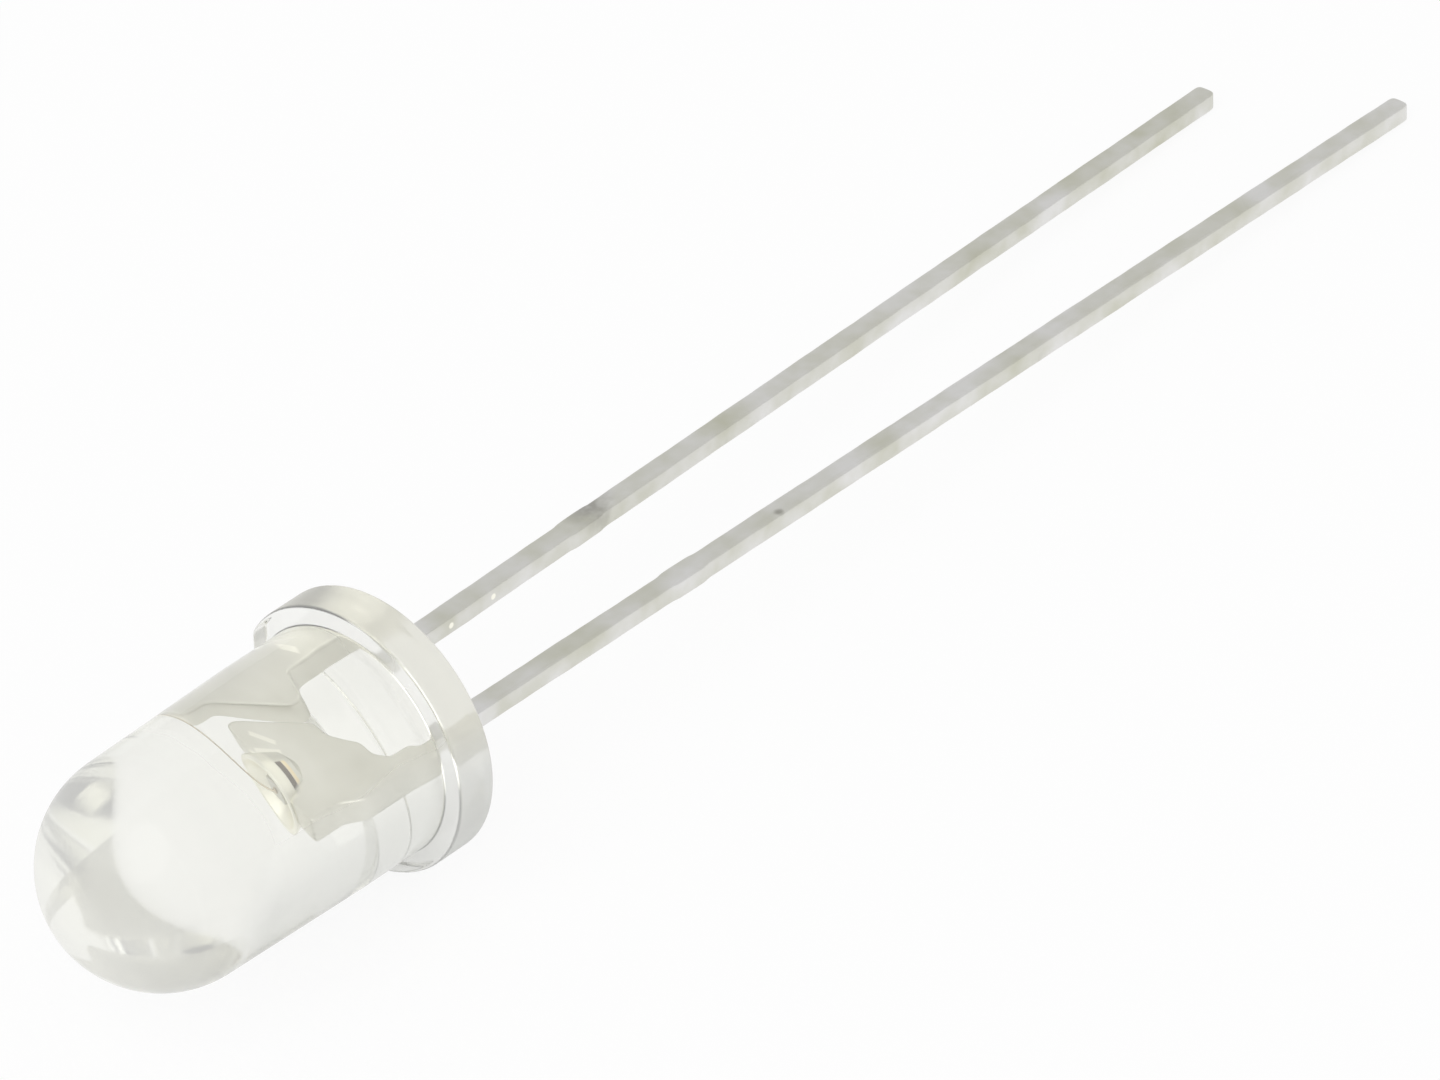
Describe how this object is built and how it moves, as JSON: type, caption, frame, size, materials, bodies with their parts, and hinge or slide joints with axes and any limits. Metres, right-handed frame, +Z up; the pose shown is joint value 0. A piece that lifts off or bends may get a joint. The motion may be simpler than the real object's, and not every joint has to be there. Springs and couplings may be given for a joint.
{
  "type": "through hole light emitting diode",
  "caption": "Clear round 5 mm through hole LED with a domed lens, a flange with a flat, and long straight plated leads.",
  "frame": {"origin": "middle of the bounding box's base, on the table the part rests on", "axes": "+Z up from the table; -X is where the dome points, the lens axis rising 5.4 degrees toward it; +Y is the side of the flange's flat and of the cathode lead"},
  "size_m": [0.0382, 0.0056, 0.0059],
  "materials": {
    "clear_epoxy": "water clear cast epoxy resin, smooth and glossy, faintly warm in its depth",
    "lead_plating": "iron sheet with a satin plating, slightly mottled by soldering dip",
    "die_crystal": "sawn crystal with a bright top and a gold pad",
    "silver_epoxy": "silver filled epoxy, matte",
    "gold": "fine drawn gold wire"
  },
  "bodies": {
    "root": {"epoxy_body": "clear_epoxy", "cathode_lead": "lead_plating", "anode_lead": "lead_plating", "die": "die_crystal", "die_attach": "silver_epoxy", "bond_wire": "gold"}
  },
  "joints": []
}
